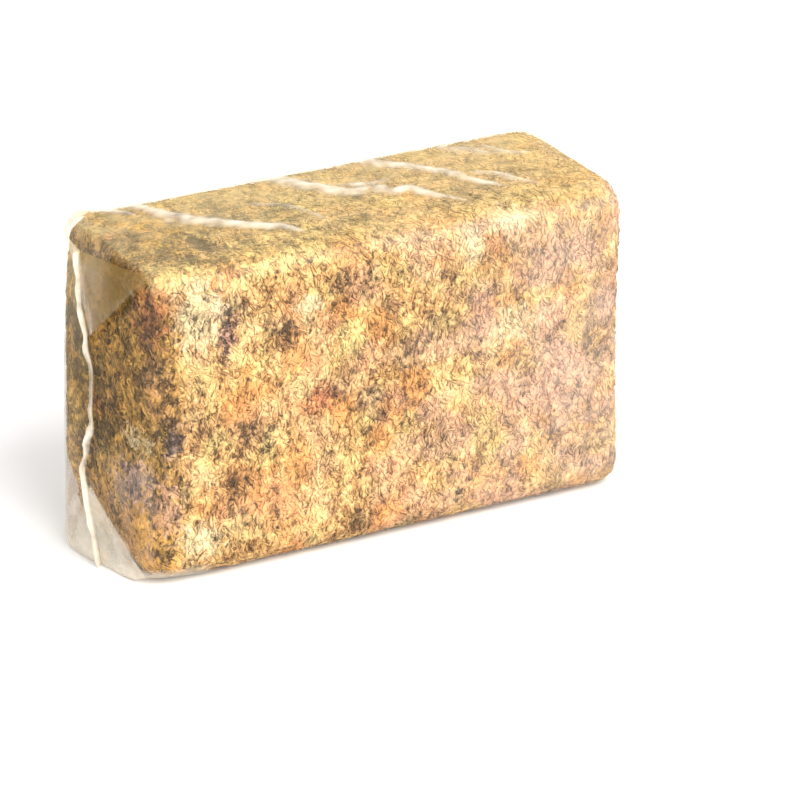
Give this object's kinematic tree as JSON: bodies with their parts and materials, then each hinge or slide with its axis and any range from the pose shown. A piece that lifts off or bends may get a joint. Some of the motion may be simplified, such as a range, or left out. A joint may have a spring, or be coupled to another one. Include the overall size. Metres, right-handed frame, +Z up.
{
  "type": "sphagnum moss block",
  "caption": "Pressed oblong block of dried sphagnum moss in clear film, with an upright gathered fin seal at one end.",
  "frame": {"origin": "centre of the underside of the whole part's box, on the surface it rests on", "axes": "+Z up, X along the block's length with the fin seal at -X, -Y out of the long front face"},
  "size_m": [0.3225, 0.1194, 0.1873],
  "materials": {
    "pressed_moss": "dry, matt, fibrous plant matter in straw, cream, tan and rust",
    "clear_film": "thin clear soft film, glossy, milky where it is folded double"
  },
  "bodies": {
    "root": {"moss_block": "pressed_moss", "film_bag": "clear_film"}
  },
  "joints": []
}
